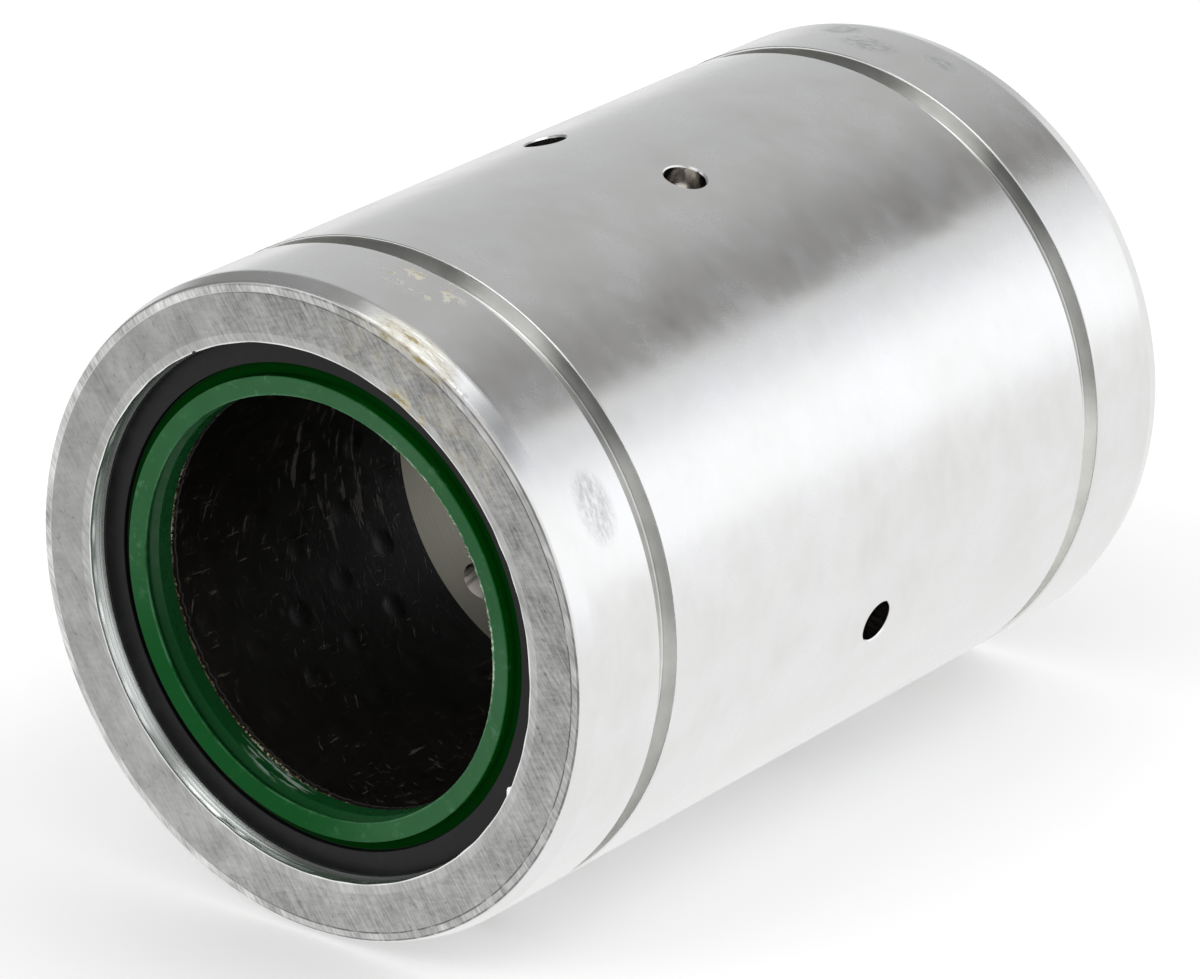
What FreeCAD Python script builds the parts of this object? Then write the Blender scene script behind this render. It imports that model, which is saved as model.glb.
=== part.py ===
"""Linear plain bearing unit for a 30 mm shaft, built as the real one is built.

A turned aluminium sleeve carries two rolled composite bushes, pressed in from its two ends, and a
shaft seal outside each bush.  A bush is a laminate: steel back, sintered bronze layer and plastic
sliding layer with lubricant pockets.  A seal is a stiff carrier ring with an elastomer lip.

Frame: millimetres.  The shaft axis is +Y, the origin is on that axis at mid-length, and +Z is up with
the sleeve lying on its side.  The front end is at -Y.  A station is a distance along Y from the
middle, and every ring is drawn as an outline of (radius, station) points and revolved about Y.
Angles around the axis are in degrees from +X towards +Z.
"""
import FreeCAD, Part
import math
import os

# ---- driving dimensions: overall -------------------------------------------------------------
# The part is built outwards from the shaft, and inwards from its two end faces.
shaft_diameter = 30.0            # nominal shaft
sleeve_length = 68.0             # overall length
sleeve_wall_at_seat = 4.5        # seal seat to the outside, which makes the outside 47 across

# ---- sleeve ends -----------------------------------------------------------------------------
lead_chamfer_length = 1.5        # long shallow chamfer that leads the sleeve into its housing
lead_chamfer_angle = 16.0        # degrees from the axis
face_edge_radius = 0.6           # rounded edge between end face and lead chamfer
mouth_bevel_width = 0.6          # flat bevel round the mouth of the seal seat, measured on the radius
mouth_bevel_depth = 0.08

# ---- retaining-ring grooves in the outside ---------------------------------------------------
groove_inset = 8.15              # end face to the outer wall: 51.7 over the two grooves
groove_width = 1.85
groove_depth = 1.25
groove_corner_radius = 0.15

# ---- radial holes at mid-length --------------------------------------------------------------
lube_hole_diameter = 3.0
lube_hole_count = 3
first_lube_hole_angle = 105.0
locating_hole_diameter = 3.0
locating_hole_angle = 75.0
locating_hole_depth = 3.0        # outside to the end of the full diameter; the hole is blind
drill_point_angle = 118.0        # cone that a drill leaves at the bottom of a blind hole
hole_countersink = 0.15
sleeve_seam_angle = 25.0         # where the sleeve's round faces start and end, clear of the holes

# ---- bushes ----------------------------------------------------------------------------------
bush_gap = 10.0                  # grease space between the two bushes, which makes each 25 long
bush_press_clearance = 0.0       # pressed into the sleeve, so the faces meet
steel_back_thickness = 1.45
bronze_thickness = 0.25
sliding_layer_thickness = 0.30
layer_bond_clearance = 0.0       # the layers are sintered and rolled together
bush_mouth_chamfer = 0.40        # 45 degree chamfer that opens each end of the bore
bush_back_lead_length = 1.0      # chamfer that leads the bush into the sleeve
bush_back_lead_depth = 0.35

# ---- lubricant pockets in the sliding layer --------------------------------------------------
pocket_diameter = 2.0
pocket_depth = 0.20
pocket_row_drop = 1.8            # each pocket along a row sits this much nearer the front
pockets_per_turn = 23            # pockets along a row before the pattern closes on itself
rows_per_turn = 8                # rows that the pattern steps over in that turn
pocket_row_twist = 3.8           # degrees that each row is turned from the row behind it
first_pocket_angle = 209.0       # in the front bush
first_pocket_distance = 15.7     # from the outer end of the bush
pocket_edge_margin = 0.6         # least land between a pocket and the bush end

# ---- seals -----------------------------------------------------------------------------------
seal_seat_depth = 4.0            # from the end face to the shoulder, where the bush begins
seal_seat_clearance = 0.0        # the carrier is pressed into its seat
carrier_recess = 1.48            # end face of the sleeve to face of the carrier
carrier_rim_width = 1.75         # radial width of the carrier's end face
moat_width = 0.90                # groove between the carrier's rim and the head of the lip
moat_depth = 0.40
carrier_edge_radius = 0.12
lip_bond_clearance = 0.0         # the lip is moulded on to the carrier
lip_recess = 1.03                # end face of the sleeve to the front of the lip
lip_head_thickness = 1.35        # radial
lip_root_thickness = 0.95        # radial, behind the head
lip_face_slope = 0.25            # the lip's front face falls back by this towards the shaft
lip_shaft_clearance = 0.0        # the lip is drawn as it lies on the shaft
lip_edge_length = 0.15           # land of the front scraping edge
lip_relief_depth = 0.45          # groove between the two lips, measured on the radius
lip_relief_length = 1.2
second_lip_chamfer = 0.15

# ---- values that follow ----------------------------------------------------------------------
bore_radius = shaft_diameter / 2
end_station = sleeve_length / 2
shoulder_station = end_station - seal_seat_depth
sliding_layer_radius = bore_radius + sliding_layer_thickness
bronze_inner_radius = sliding_layer_radius + layer_bond_clearance
bronze_outer_radius = bronze_inner_radius + bronze_thickness
steel_inner_radius = bronze_outer_radius + layer_bond_clearance
steel_outer_radius = steel_inner_radius + steel_back_thickness
sleeve_bore_radius = steel_outer_radius + bush_press_clearance
lip_inner_radius = bore_radius + lip_shaft_clearance
lip_root_radius = lip_inner_radius + lip_root_thickness
lip_head_radius = lip_inner_radius + lip_head_thickness
moat_radius = lip_head_radius + moat_width
carrier_radius = moat_radius + carrier_rim_width
seat_radius = carrier_radius + seal_seat_clearance
sleeve_radius = seat_radius + sleeve_wall_at_seat
groove_floor_radius = sleeve_radius - groove_depth
lead_chamfer_drop = lead_chamfer_length * math.tan(math.radians(lead_chamfer_angle))

REACH = 2 * sleeve_radius        # long enough for a cutting tool to pass out of the part
AXIS_START = FreeCAD.Vector(0, 0, 0)
AXIS = FreeCAD.Vector(0, 1, 0)


# ---- helpers ---------------------------------------------------------------------------------
def revolved(outline):
    """Solid of revolution about Y from a closed outline of (radius, station) points."""
    points = [FreeCAD.Vector(radius, station, 0) for radius, station in outline]
    face = Part.Face(Part.makePolygon(points + points[:1]))
    return face.revolve(AXIS_START, AXIS, 360)


def mirrored(outline):
    """The same outline at the other end, in reverse order so that two halves join up."""
    return [(radius, -station) for radius, station in reversed(outline)]


def to_front(solid):
    """The piece at the rear end, turned into its twin at the front end."""
    twin = solid.copy()
    twin.rotate(AXIS_START, FreeCAD.Vector(0, 0, 1), 180)
    return twin


def ring_edges(solid, radius, station):
    """Circular edges of the solid that have this radius and lie at this station."""
    near = 1e-6
    found = []
    for edge in solid.Edges:
        if isinstance(edge.Curve, Part.Circle):
            same_radius = abs(edge.Curve.Radius - radius) < near
            if same_radius and abs(edge.Curve.Center.y - station) < near:
                found.append(edge)
    return found


def outward(angle):
    """Unit vector that points out from the shaft axis at this angle."""
    turn = math.radians(angle)
    return FreeCAD.Vector(math.cos(turn), 0, math.sin(turn))


def radial_drill(diameter, angle, depth=None):
    """Drill and countersink that enter the sleeve at mid-length: to the shaft axis, or to a depth.

    The depth is where the full diameter ends, and the point of the drill goes on below it.
    """
    radius = diameter / 2
    direction = outward(angle)
    if depth is None:
        drill = Part.makeCylinder(radius, REACH, AXIS_START, direction)
    else:
        stop = sleeve_radius - depth
        point_length = radius / math.tan(math.radians(drill_point_angle / 2))
        point = Part.makeCone(0, radius, point_length, direction * (stop - point_length), direction)
        drill = Part.makeCylinder(radius, REACH, direction * stop, direction).fuse(point)
    sink_start = direction * (sleeve_radius - hole_countersink)
    sink = Part.makeCone(radius, radius + 3 * hole_countersink, 3 * hole_countersink, sink_start, direction)
    return drill.fuse(sink)


# ---- sleeve ----------------------------------------------------------------------------------
def sleeve():
    """Aluminium sleeve: stepped bore, retaining-ring grooves, lead chamfers and radial holes."""
    mouth_radius = seat_radius + mouth_bevel_width
    face_radius = sleeve_radius - lead_chamfer_drop
    groove_outer_wall = end_station - groove_inset
    groove_inner_wall = groove_outer_wall - groove_width
    rear_half = [
        (sleeve_radius, groove_inner_wall),
        (groove_floor_radius, groove_inner_wall),
        (groove_floor_radius, groove_outer_wall),
        (sleeve_radius, groove_outer_wall),
        (sleeve_radius, end_station - lead_chamfer_length),
        (face_radius, end_station),
        (mouth_radius, end_station),
        (seat_radius, end_station - mouth_bevel_depth),
        (seat_radius, shoulder_station),
        (sleeve_bore_radius, shoulder_station),
    ]
    body = revolved(rear_half + mirrored(rear_half))
    body.rotate(AXIS_START, AXIS, -sleeve_seam_angle)

    rounded = []
    for station in (end_station, -end_station):
        rounded += ring_edges(body, face_radius, station)
    body = body.makeFillet(face_edge_radius, rounded)

    corners = []
    for wall in (groove_outer_wall, groove_inner_wall):
        for station in (wall, -wall):
            corners += ring_edges(body, groove_floor_radius, station)
    body = body.makeFillet(groove_corner_radius, corners)

    for index in range(lube_hole_count):
        angle = first_lube_hole_angle + index * 360.0 / lube_hole_count
        body = body.cut(radial_drill(lube_hole_diameter, angle))
    return body.cut(radial_drill(locating_hole_diameter, locating_hole_angle, locating_hole_depth))


# ---- bushes, drawn at the rear end -----------------------------------------------------------
bush_outer_end = shoulder_station
bush_inner_end = bush_gap / 2
bush_length = bush_outer_end - bush_inner_end


def layer(inner_radius, outer_radius):
    """One layer of the bush, full length, before its ends are chamfered."""
    return revolved([
        (inner_radius, bush_inner_end),
        (outer_radius, bush_inner_end),
        (outer_radius, bush_outer_end),
        (inner_radius, bush_outer_end),
    ])


def mouth_cone(station, direction):
    """Tool that chamfers the bore at one end of the bush, through whichever layers it meets."""
    depth = bush_mouth_chamfer
    start = FreeCAD.Vector(0, station - direction * depth, 0)
    wide = bore_radius + 2 * depth
    return Part.makeCone(bore_radius, wide, 2 * depth, start, FreeCAD.Vector(0, direction, 0))


def with_chamfered_mouths(piece):
    """The layer with the bore chamfer of both bush ends cut through it."""
    piece = piece.cut(mouth_cone(bush_outer_end, 1))
    return piece.cut(mouth_cone(bush_inner_end, -1))


def steel_back():
    """Steel back with a lead at both ends of its outside, so it starts into the sleeve."""
    lead_radius = steel_outer_radius - bush_back_lead_depth
    return revolved([
        (steel_inner_radius, bush_inner_end),
        (lead_radius, bush_inner_end),
        (steel_outer_radius, bush_inner_end + bush_back_lead_length),
        (steel_outer_radius, bush_outer_end - bush_back_lead_length),
        (lead_radius, bush_outer_end),
        (steel_inner_radius, bush_outer_end),
    ])


def pocket_places():
    """(station, angle) of each lubricant pocket: a staggered pattern rolled up with the strip.

    Rows slope round the bore.  After pockets_per_turn steps along a row the pattern has come round
    once and dropped by exactly rows_per_turn rows, so it closes on itself without a seam.  The
    angles are those of the front bush; the rear one is drawn, where they count from -X.
    """
    row_spacing = pockets_per_turn * pocket_row_drop / rows_per_turn
    step_angle = (360.0 + rows_per_turn * pocket_row_twist) / pockets_per_turn
    land = pocket_diameter / 2 + pocket_edge_margin
    places = []
    rows_each_way = math.ceil(bush_length / row_spacing) + rows_per_turn
    for row in range(-rows_each_way, rows_each_way + 1):
        for step in range(pockets_per_turn):
            distance = first_pocket_distance - step * pocket_row_drop - row * row_spacing
            angle = 180.0 - first_pocket_angle - step * step_angle - row * pocket_row_twist
            if land <= distance <= bush_length - land:
                places.append((bush_outer_end - distance, angle))
    return places


def pocket_ball(station, angle):
    """Ball that presses one dished pocket into the bore.

    A ball about Y is made with its seam at 90 degrees.  It is turned until the seam faces the shaft
    axis, so that no edge crosses the dish.
    """
    radius = ((pocket_diameter / 2) ** 2 + pocket_depth ** 2) / (2 * pocket_depth)
    ball = Part.makeSphere(radius, AXIS_START, AXIS)
    ball.rotate(AXIS_START, AXIS, -angle - 90)
    centre = outward(angle) * (bore_radius + pocket_depth - radius)
    ball.translate(centre + FreeCAD.Vector(0, station, 0))
    return ball


def sliding_layer():
    """Plastic sliding layer, with lubricant pockets pressed into the bore as shallow dishes."""
    body = with_chamfered_mouths(layer(bore_radius, sliding_layer_radius))
    return body.cut([pocket_ball(station, angle) for station, angle in pocket_places()])


# ---- seals, drawn at the rear end ------------------------------------------------------------
carrier_front = end_station - carrier_recess
carrier_web_front = carrier_front - moat_depth


def seal_carrier():
    """Stiff carrier ring: a rim that fills the seat and a web that reaches in to hold the lip."""
    web_radius = lip_root_radius + lip_bond_clearance
    body = revolved([
        (web_radius, shoulder_station),
        (carrier_radius, shoulder_station),
        (carrier_radius, carrier_front),
        (moat_radius, carrier_front),
        (moat_radius, carrier_web_front),
        (web_radius, carrier_web_front),
    ])
    rims = ring_edges(body, carrier_radius, carrier_front) + ring_edges(body, moat_radius, carrier_front)
    return body.makeFillet(carrier_edge_radius, rims)


def seal_lip():
    """Elastomer ring with two lips: a scraping edge at the front and a second lip by the bush."""
    lip_front = end_station - lip_recess
    edge_front = lip_front - lip_face_slope
    edge_back = edge_front - lip_edge_length
    relief_back = edge_back - lip_relief_length
    head_back = carrier_web_front + lip_bond_clearance
    return revolved([
        (lip_inner_radius + second_lip_chamfer, shoulder_station),
        (lip_root_radius, shoulder_station),
        (lip_root_radius, head_back),
        (lip_head_radius, head_back),
        (lip_head_radius, lip_front),
        (lip_inner_radius, edge_front),
        (lip_inner_radius, edge_back),
        (lip_inner_radius + lip_relief_depth, (edge_back + relief_back) / 2),
        (lip_inner_radius, relief_back),
        (lip_inner_radius, shoulder_station + second_lip_chamfer),
    ])


# ---- assembly --------------------------------------------------------------------------------
def main():
    pieces = {"housing_sleeve": sleeve()}
    rear_pieces = {
        "bush_steel_back": steel_back(),
        "bush_bronze_layer": with_chamfered_mouths(layer(bronze_inner_radius, bronze_outer_radius)),
        "bush_sliding_layer": sliding_layer(),
        "seal_carrier": seal_carrier(),
        "seal_lip": seal_lip(),
    }
    for name, solid in rear_pieces.items():
        pieces["rear_" + name] = solid
        pieces["front_" + name] = to_front(solid)

    os.makedirs("parts", exist_ok=True)
    for name, solid in pieces.items():
        if not solid.isValid() or len(solid.Solids) != 1:
            raise ValueError(f"{name} is not one valid solid")
        solid.exportStep(f"parts/{name}.step")
        box = solid.BoundBox
        print(f"{name:28s} {solid.Volume:10.1f} mm3  faces {len(solid.Faces):4d}"
              f"  X {box.XLength:.2f} Y {box.YMin:.2f}..{box.YMax:.2f} Z {box.ZLength:.2f}")


main()
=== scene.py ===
# %% [markdown]
# # A linear plain bearing unit, finished in Blender
# The part is a short aluminium tube that slides along a 30 mm shaft. Inside it sit two plain bushes,
# and a green lip seal in a black carrier closes each end. The CAD model fixes every size, so this
# lesson only has to make the surfaces look like turned metal, moulded plastic and rubber.
#
# All points are in metres, as in the CAD frame: the shaft axis is Y, the front end is at -Y, and Z is
# up. The lesson thinks in millimetres and in three measures that suit a round part: the radius from
# the shaft axis, the depth from the nearer end face, and the angle round the axis from +X towards +Z.

# %% Load the CAD frame and measure it
import math

import bpy
import numpy as np
from mathutils import Matrix, Vector


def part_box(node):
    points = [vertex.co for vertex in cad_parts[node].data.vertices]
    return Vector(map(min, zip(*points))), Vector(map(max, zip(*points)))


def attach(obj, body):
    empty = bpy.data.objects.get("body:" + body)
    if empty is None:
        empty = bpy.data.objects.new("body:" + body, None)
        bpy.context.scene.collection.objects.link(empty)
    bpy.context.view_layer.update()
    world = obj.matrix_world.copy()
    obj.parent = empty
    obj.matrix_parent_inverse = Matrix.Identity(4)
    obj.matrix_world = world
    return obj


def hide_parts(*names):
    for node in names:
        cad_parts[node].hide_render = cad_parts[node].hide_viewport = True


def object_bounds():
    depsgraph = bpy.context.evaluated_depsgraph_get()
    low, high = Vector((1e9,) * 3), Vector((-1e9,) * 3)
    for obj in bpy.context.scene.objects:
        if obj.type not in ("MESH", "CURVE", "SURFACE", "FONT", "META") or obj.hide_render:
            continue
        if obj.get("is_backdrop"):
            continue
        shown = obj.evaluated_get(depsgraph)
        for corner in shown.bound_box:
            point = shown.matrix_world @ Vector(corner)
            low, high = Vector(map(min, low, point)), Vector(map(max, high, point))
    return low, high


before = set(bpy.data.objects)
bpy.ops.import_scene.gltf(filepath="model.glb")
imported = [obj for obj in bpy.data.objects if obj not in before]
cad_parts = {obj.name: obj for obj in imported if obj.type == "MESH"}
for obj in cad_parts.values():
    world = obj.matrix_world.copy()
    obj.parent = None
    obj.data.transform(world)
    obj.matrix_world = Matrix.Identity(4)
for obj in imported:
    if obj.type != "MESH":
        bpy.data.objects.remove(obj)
cad_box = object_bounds()
scene = bpy.context.scene

MM = 0.001
sleeve_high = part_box("housing_sleeve")[1]
END = sleeve_high.y / MM                 # station of the rear end face; the front one is at -END
OUTSIDE = sleeve_high.z / MM             # outside radius of the sleeve
print(f"sleeve: {2 * END:.2f} mm long, {2 * OUTSIDE:.2f} mm across")
for name in sorted(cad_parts):
    low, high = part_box(name)
    print(f"  {name:26s} y {low.y / MM:7.2f} to {high.y / MM:7.2f}   radius {high.z / MM:6.2f}")

# %% [markdown]
# ## The camera
# A product view looks into the bore from the front, from the right and from above. A long lens keeps
# the two end circles nearly the same size, as they would be from a few paces away. The camera is
# placed by its position and by where it looks, and it has no shift and no depth of field.

# %% Place the camera
CAMERA_PLACE = Vector((0.267455, -0.351128, 0.178202))
CAMERA_LOOK = Vector((-0.56271, 0.73526, -0.37784)).normalized()
CAMERA_RIGHT = Vector((0.79413, 0.60776, 0.0)).normalized()


def look_matrix(place, look, right):
    """Matrix of a camera at place: its -Z axis points along look and its X axis along right."""
    up = right.cross(look)
    turn = Matrix((right, up, -look)).transposed()
    return Matrix.Translation(place) @ turn.to_4x4()


camera_data = bpy.data.cameras.new("product_camera")
camera_data.lens = 203.6
camera_data.sensor_width = 36.0
camera_data.clip_start = 0.01
camera = bpy.data.objects.new("product_camera", camera_data)
scene.collection.objects.link(camera)
camera.matrix_world = look_matrix(CAMERA_PLACE, CAMERA_LOOK, CAMERA_RIGHT)
scene.camera = camera
print(f"camera {CAMERA_PLACE.length:.3f} m from the middle of the part, lens {camera_data.lens} mm")

# %% [markdown]
# ## Sums inside a material
# A procedural material is a net of small nodes. Written out one by one they are hard to read, so a
# `Field` stands for a number that varies over the surface, and a sum on fields makes the Math nodes
# for it. With this, a zone of the part is written as plain arithmetic on radius, depth and angle.

# %% Fields: arithmetic that becomes shader nodes
def feed(entry, value):
    """Link a field to a node's input, or write a plain number or colour on it."""
    if isinstance(value, Field):
        entry.id_data.links.new(value.socket, entry)
    elif entry.type == "RGBA":
        entry.default_value = (*(value if isinstance(value, tuple) else (value,) * 3), 1.0)
    else:
        entry.default_value = value


class Field:
    """A value that varies over a surface: one output socket of a material's node tree."""

    def __init__(self, socket):
        self.socket = socket
        self.nodes = socket.node.id_data.nodes

    def sum(self, operation, *values):
        """New field from one Math node, with the given values as its inputs in order."""
        node = self.nodes.new("ShaderNodeMath")
        node.operation = operation
        for entry, value in zip(node.inputs, values):
            feed(entry, value)
        return Field(node.outputs[0])

    def __add__(self, other):
        return self.sum("ADD", self, other)

    def __sub__(self, other):
        return self.sum("SUBTRACT", self, other)

    def __rsub__(self, other):
        return self.sum("SUBTRACT", other, self)

    def __mul__(self, other):
        return self.sum("MULTIPLY", self, other)

    def __truediv__(self, other):
        return self.sum("DIVIDE", self, other)

    __radd__ = __add__
    __rmul__ = __mul__

    def rise(self, low, high):
        """0 below low and 1 above high, with a smooth step between; high may be the smaller."""
        node = self.nodes.new("ShaderNodeMapRange")
        node.interpolation_type = "SMOOTHSTEP"
        feed(node.inputs["Value"], self)
        flip = low > high
        feed(node.inputs["From Min"], min(low, high))
        feed(node.inputs["From Max"], max(low, high))
        step = Field(node.outputs[0])
        return 1.0 - step if flip else step

    def between(self, low, high, soft):
        """1 from low to high and 0 outside, fading over soft on both sides."""
        return self.rise(low - soft, low) * self.rise(high + soft, high)


def blend(amount, first, second):
    """Colour or value that goes from first to second as amount goes from 0 to 1."""
    node = amount.nodes.new("ShaderNodeMix")
    node.data_type = "RGBA"
    feed(node.inputs[0], amount)
    feed(node.inputs[6], first)
    feed(node.inputs[7], second)
    return Field(node.outputs[2])


def vector(x, y, z):
    """Three fields as one vector, for a pattern to read."""
    node = x.nodes.new("ShaderNodeCombineXYZ")
    for entry, value in zip(node.inputs, (x, y, z)):
        feed(entry, value)
    return Field(node.outputs[0])


def noise(where, scale, detail=3.0, rough=0.5):
    """Smooth random pattern from 0 to 1 with about scale lumps per unit of where."""
    node = where.nodes.new("ShaderNodeTexNoise")
    feed(node.inputs["Vector"], where)
    feed(node.inputs["Scale"], scale)
    feed(node.inputs["Detail"], detail)
    feed(node.inputs["Roughness"], rough)
    return Field(node.outputs[0])


def cells(where, scale):
    """Distance to the nearest of many scattered points, about scale points per unit."""
    node = where.nodes.new("ShaderNodeTexVoronoi")
    feed(node.inputs["Vector"], where)
    feed(node.inputs["Scale"], scale)
    return Field(node.outputs["Distance"])


print("fields ready")

# %% [markdown]
# ## Where a point is on the part
# Every finish below asks the same questions: how far from the shaft axis, how deep from the nearer
# end, and at which angle. They are worked out once per material from Object coordinates, which are
# fixed to the part, so a finish stays in place from every side.

# %% Start a material and find its measures
class Finish:
    """A material with a Principled shader and the measures of a round part, in millimetres."""

    def __init__(self, name):
        self.material = bpy.data.materials.new(name)
        self.material.use_nodes = True
        tree = self.material.node_tree
        self.nodes = tree.nodes
        self.shader = tree.nodes["Principled BSDF"]
        coordinates = tree.nodes.new("ShaderNodeTexCoord")
        scaled = tree.nodes.new("ShaderNodeVectorMath")
        scaled.operation = "SCALE"
        tree.links.new(coordinates.outputs["Object"], scaled.inputs[0])
        scaled.inputs["Scale"].default_value = 1 / MM
        split = tree.nodes.new("ShaderNodeSeparateXYZ")
        tree.links.new(scaled.outputs[0], split.inputs[0])
        self.place = Field(scaled.outputs[0])
        self.x, self.y, self.z = (Field(out) for out in split.outputs)
        self.radius = self.x.sum("SQRT", self.x * self.x + self.z * self.z)
        self.depth = END - self.x.sum("ABSOLUTE", self.y)
        self.turn = self.x.sum("ARCTAN2", self.z, self.x)
        self.angle = self.turn * math.degrees(1)

    def around(self, stretch, across):
        """Vector for streaks that run round the part, as a lathe tool leaves them."""
        return vector(self.x * stretch, self.y * across, self.z * stretch)

    def patch(self, angle, depth, half_angle, half_depth):
        """Soft oval spot on the surface: 1 at its middle, 0 at its rim."""
        sideways = (self.angle - angle) / half_angle
        along = (self.depth - depth) / half_depth
        return (sideways * sideways + along * along).rise(1.0, 0.15)

    def front(self):
        """1 on the front half of the part and 0 on the rear half."""
        return self.y.rise(0.5, -0.5)

    def set(self, **values):
        """Write values on the shader; a word such as base_color names the socket Base Color."""
        for key, value in values.items():
            socket = "Specular IOR Level" if key == "specular" else key.replace("_", " ").title()
            feed(self.shader.inputs[socket], value)
        return self

    def relief(self, height):
        """Bump from a height field in millimetres."""
        node = self.nodes.new("ShaderNodeBump")
        feed(node.inputs["Height"], height)
        feed(node.inputs["Distance"], MM)
        feed(self.shader.inputs["Normal"], Field(node.outputs[0]))
        return self


print("finishes can now be written with radius, depth and angle in mm and degrees")

# %% [markdown]
# ## The studio
# The part lies on a pale floor under plain soft light. Bare metal shows its surroundings more than
# its own colour, so the studio also has cards: curved sheets along the part that only reflections
# see. A bright one stands to the right, as a softbox would, and a grey one hangs over the part.
# Between them lies a dark gap, which gives polished metal its depth. Small cards near the front end
# light the chamfer and the seal seat, and a dark one stands where a camera would. The floor looks
# white to the eye and to mirrored rays, but it lights the part as a pale grey floor does.

# %% Surfaces from formulas
def mesh_piece(name, points, faces, material):
    """Object at the origin with the given points, in metres, and faces; all faces are smooth."""
    mesh = bpy.data.meshes.new(name)
    mesh.from_pydata(points.reshape(-1, 3).tolist(), [], faces.tolist())
    mesh.polygons.foreach_set("use_smooth", np.ones(len(faces), bool))
    mesh.materials.append(material)
    mesh.update()
    piece = bpy.data.objects.new(name, mesh)
    scene.collection.objects.link(piece)
    return piece


def grid_faces(rows, columns, close_rows=False, close_columns=False):
    """Quads between neighbours of a rows x columns grid; a closed direction wraps round."""
    row = np.arange(rows if close_rows else rows - 1)[:, None]
    column = np.arange(columns if close_columns else columns - 1)[None, :]
    next_row, next_column = (row + 1) % rows, (column + 1) % columns
    corners = (row * columns + column, next_row * columns + column,
               next_row * columns + next_column, row * columns + next_column)
    return np.stack(np.broadcast_arrays(*corners), -1).reshape(-1, 4)


def arch(name, radius, first_angle, last_angle, first_station, last_station, material):
    """Curved sheet: x = radius cos(angle), z = radius sin(angle), y runs along the part."""
    angle = np.radians(np.linspace(first_angle, last_angle, 65))[:, None]
    station = np.linspace(first_station, last_station, 9)[None, :]
    x, z = radius * np.cos(angle), radius * np.sin(angle)
    points = np.stack(np.broadcast_arrays(x, station, z), -1)
    return mesh_piece(name, points, grid_faces(65, 9), material)


print("a 3 x 4 grid closed both ways has", len(grid_faces(3, 4, True, True)), "faces")

# %% Floor, backdrop and lamps
FLOOR = -OUTSIDE * MM
FLOOR_REACH = 6.0                        # metres from the part to each edge of the floor
RAY_KINDS = ("Is Camera Ray", "Is Glossy Ray", "Is Transmission Ray")


def ray_kinds(nodes):
    """Three fields, each 1 for one kind of ray: straight to the eye, mirrored, or through glass."""
    path = nodes.new("ShaderNodeLightPath")
    return [Field(path.outputs[name]) for name in RAY_KINDS]


floor_finish = Finish("studio_floor")
straight, mirrored = ray_kinds(floor_finish.nodes)[:2]
floor_colour = blend(straight, (0.80, 0.80, 0.80), (1.0, 1.0, 1.0))
floor_finish.set(base_color=blend(mirrored, floor_colour, (0.0, 0.0, 0.0)), roughness=1.0, specular=0.0)
floor_finish.set(emission_color=(1.0, 1.0, 1.0), emission_strength=straight * 0.10 + mirrored)
floor_corners = [(-FLOOR_REACH, -FLOOR_REACH), (FLOOR_REACH, -FLOOR_REACH),
                 (FLOOR_REACH, FLOOR_REACH), (-FLOOR_REACH, FLOOR_REACH)]
floor_points = np.array([(x, y, FLOOR) for x, y in floor_corners])
floor = mesh_piece("studio_floor", floor_points, np.array([(0, 1, 2, 3)]), floor_finish.material)
floor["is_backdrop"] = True

world = bpy.data.worlds.new("studio")
world.use_nodes = True
scene.world = world
background = world.node_tree.nodes["Background"]
SKY_LIGHT = 0.80
straight, mirrored, through = ray_kinds(world.node_tree.nodes)
shown = straight.sum("MAXIMUM", straight.sum("MAXIMUM", straight, mirrored), through)
strength = shown * (1.0 - SKY_LIGHT) + SKY_LIGHT
feed(background.inputs["Color"], (1.0, 1.0, 1.0))
feed(background.inputs["Strength"], strength)


def lamp(name, place, size, power):
    """Square soft lamp that faces the part; the cards show it in reflections."""
    data = bpy.data.lights.new(name, "AREA")
    data.size, data.energy = size, power
    light = bpy.data.objects.new(name, data)
    scene.collection.objects.link(light)
    light.location = place
    light.rotation_euler = Vector(place).to_track_quat("Z", "Y").to_euler()
    light.visible_glossy = False
    light.visible_camera = False
    return light


lamp("key_lamp", (1.1, 0.7, 1.5), 1.2, 9.0)
lamp("front_lamp", (-0.6, -1.4, 1.2), 1.2, 6.0)
print(f"floor at {FLOOR / MM:.1f} mm, sky light {SKY_LIGHT}")

# %% Reflection cards
def card(name, first_angle, last_angle, first_station, last_station, glow, radius=0.9):
    """Glowing arch that only reflections see; glow is a colour or a field of one."""
    finish = Finish(name)
    finish.set(base_color=(0.0, 0.0, 0.0), specular=0.0, roughness=1.0, emission_strength=1.0)
    finish.set(emission_color=glow(finish) if callable(glow) else glow)
    sheet = arch(name, radius, first_angle, last_angle, first_station, last_station, finish.material)
    for ray in ("camera", "diffuse", "transmission", "shadow", "volume_scatter"):
        setattr(sheet, "visible_" + ray, False)
    sheet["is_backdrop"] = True
    return sheet


def softbox_glow(finish):
    """Bright from the floor up, and fading towards the top edge of the softbox."""
    return blend(finish.angle.rise(24, 57), (1.26, 1.27, 1.29), (0.66, 0.68, 0.70))


def ceiling_glow(finish):
    """Darkest beside the softbox, then lighter and cooler towards the far side."""
    dark, middle, light = (0.235, 0.23, 0.225), (0.53, 0.53, 0.53), (0.66, 0.67, 0.67)
    lower = blend(finish.angle.rise(58, 112), dark, middle)
    return blend(finish.angle.rise(110, 185), lower, light)


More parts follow.
